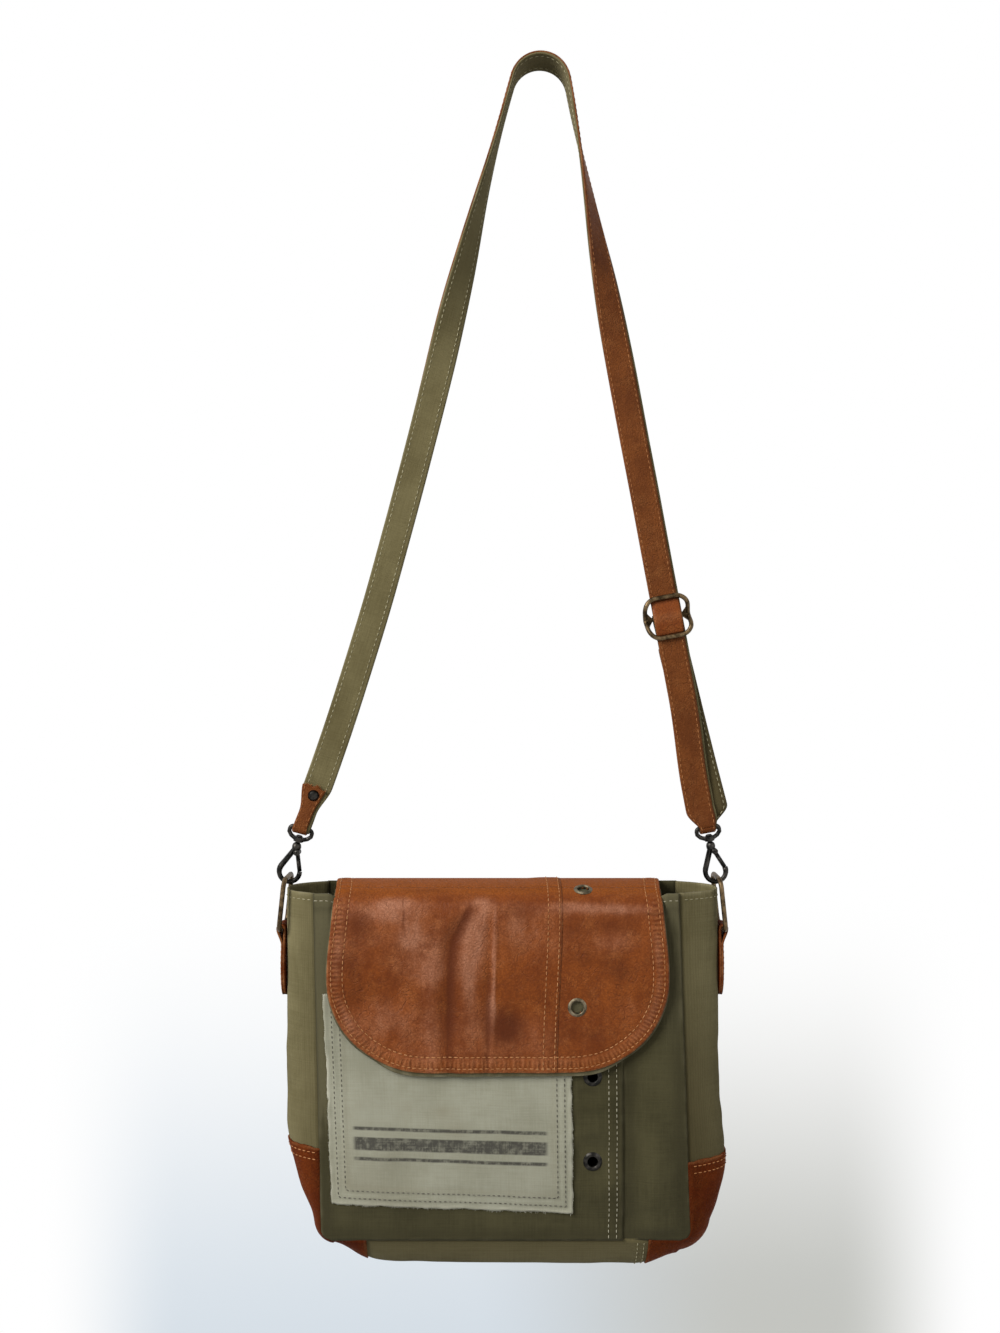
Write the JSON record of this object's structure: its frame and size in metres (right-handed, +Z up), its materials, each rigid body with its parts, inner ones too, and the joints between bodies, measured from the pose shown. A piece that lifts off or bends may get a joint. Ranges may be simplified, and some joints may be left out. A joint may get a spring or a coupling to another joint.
{
  "type": "messenger bag",
  "caption": "Small canvas messenger bag with a rounded leather flap, folded side gussets and leather corners, hung by an adjustable two-ply strap on swivel clips.",
  "frame": {"origin": "underside of the strap at its highest point, where a peg or hook carries it", "axes": "+Z up along the hanging strap, +X to the right seen from the front, the front faces -Y"},
  "size_m": [0.3345, 0.0532, 0.8926],
  "materials": {
    "olive_canvas": "dark olive canvas, washed and worn",
    "light_canvas": "light olive canvas, worn",
    "patch_canvas": "pale grey-green canvas with frayed edges",
    "lining_cloth": "plain olive lining cloth",
    "tan_leather": "tan leather, soft and creased, satin",
    "dark_leather": "reddish brown leather, satin",
    "antique_brass": "antique brass, darkened",
    "black_metal": "black plated, satin"
  },
  "bodies": {
    "strap": {"strap_leather": "tan_leather", "strap_canvas": "light_canvas", "strap_rivet": "black_metal", "strap_return_leather": "tan_leather", "strap_return_canvas": "light_canvas", "eye_left": "black_metal", "eye_right": "black_metal"},
    "bag": {"front_panel_left": "olive_canvas", "front_panel_right": "olive_canvas", "back_panel": "olive_canvas", "front_patch": "patch_canvas", "flap_back_strip": "tan_leather", "gusset_left": "light_canvas", "gusset_right": "light_canvas", "gusset_bottom": "light_canvas", "corner_left": "dark_leather", "corner_right": "dark_leather", "tab_left": "dark_leather", "tab_right": "dark_leather", "front_eyelet_upper": "black_metal", "front_eyelet_lower": "black_metal", "front_washer_upper": "black_metal", "front_washer_lower": "black_metal"},
    "flap_top": {"flap_top_left": "tan_leather", "flap_top_right": "tan_leather", "flap_top_lining": "lining_cloth", "flap_top_eyelet": "antique_brass", "flap_top_washer": "antique_brass"},
    "flap_front": {"flap_front_left": "tan_leather", "flap_front_right": "tan_leather", "flap_front_lining": "lining_cloth", "flap_front_eyelet": "antique_brass", "flap_front_washer": "antique_brass"},
    "slider": {"slider": "antique_brass", "strap_end_loop": "light_canvas"},
    "hook_left": {"hook_left": "black_metal", "gate_pin_left": "black_metal"},
    "gate_left": {"gate_left": "black_metal"},
    "hook_right": {"hook_right": "black_metal", "gate_pin_right": "black_metal"},
    "gate_right": {"gate_right": "black_metal"},
    "ring_left": {"ring_left": "antique_brass"},
    "ring_right": {"ring_right": "antique_brass"}
  },
  "joints": [
    {"name": "bag_swing", "type": "hinge", "parent": "strap", "child": "bag", "pos_m": [-0.028, 0, -0.608], "axis": [1, 0, 0], "range_deg": [-40, 40]},
    {"name": "flap_hinge", "type": "hinge", "parent": "bag", "child": "flap_top", "pos_m": [-0.028, 0.024, -0.612], "axis": [-1, 0, 0], "range_deg": [0, 110]},
    {"name": "flap_fold", "type": "hinge", "parent": "flap_top", "child": "flap_front", "pos_m": [-0.028, -0.0268, -0.6097], "axis": [-1, 0, 0], "range_deg": [0, 90]},
    {"name": "slider_slide", "type": "slide", "parent": "strap", "child": "slider", "axis": [-0.186, 0, 0.9826], "range_m": [-0.095, 0.12], "deforming": ["strap_return_leather", "strap_return_canvas"]},
    {"name": "swivel_left", "type": "hinge", "parent": "strap", "child": "hook_left", "pos_m": [-0.1859, 0, -0.60054], "axis": [0.2736, 0, 0.9619], "range_deg": [-20, 20]},
    {"name": "gate_left_open", "type": "hinge", "parent": "hook_left", "child": "gate_left", "pos_m": [-0.18002, 0, -0.58625], "axis": [0, 1, 0], "range_deg": [0, 18], "stiffness_Nm_per_rad": 0.02, "springref_deg": -11.46},
    {"name": "ring_left_tilt", "type": "hinge", "parent": "bag", "child": "ring_left", "pos_m": [-0.19085, 0, -0.64145], "axis": [0, 1, 0], "range_deg": [-1, 1]},
    {"name": "swivel_right", "type": "hinge", "parent": "strap", "child": "hook_right", "pos_m": [0.13023, 0, -0.60047], "axis": [-0.186, 0, 0.9826], "range_deg": [-20, 20]},
    {"name": "gate_right_open", "type": "hinge", "parent": "hook_right", "child": "gate_right", "pos_m": [0.1291, 0, -0.58505], "axis": [0, 1, 0], "range_deg": [0, 18], "stiffness_Nm_per_rad": 0.02, "springref_deg": -11.46},
    {"name": "ring_right_tilt", "type": "hinge", "parent": "bag", "child": "ring_right", "pos_m": [0.13485, 0, -0.64145], "axis": [0, 1, 0], "range_deg": [-1, 1]}
  ]
}
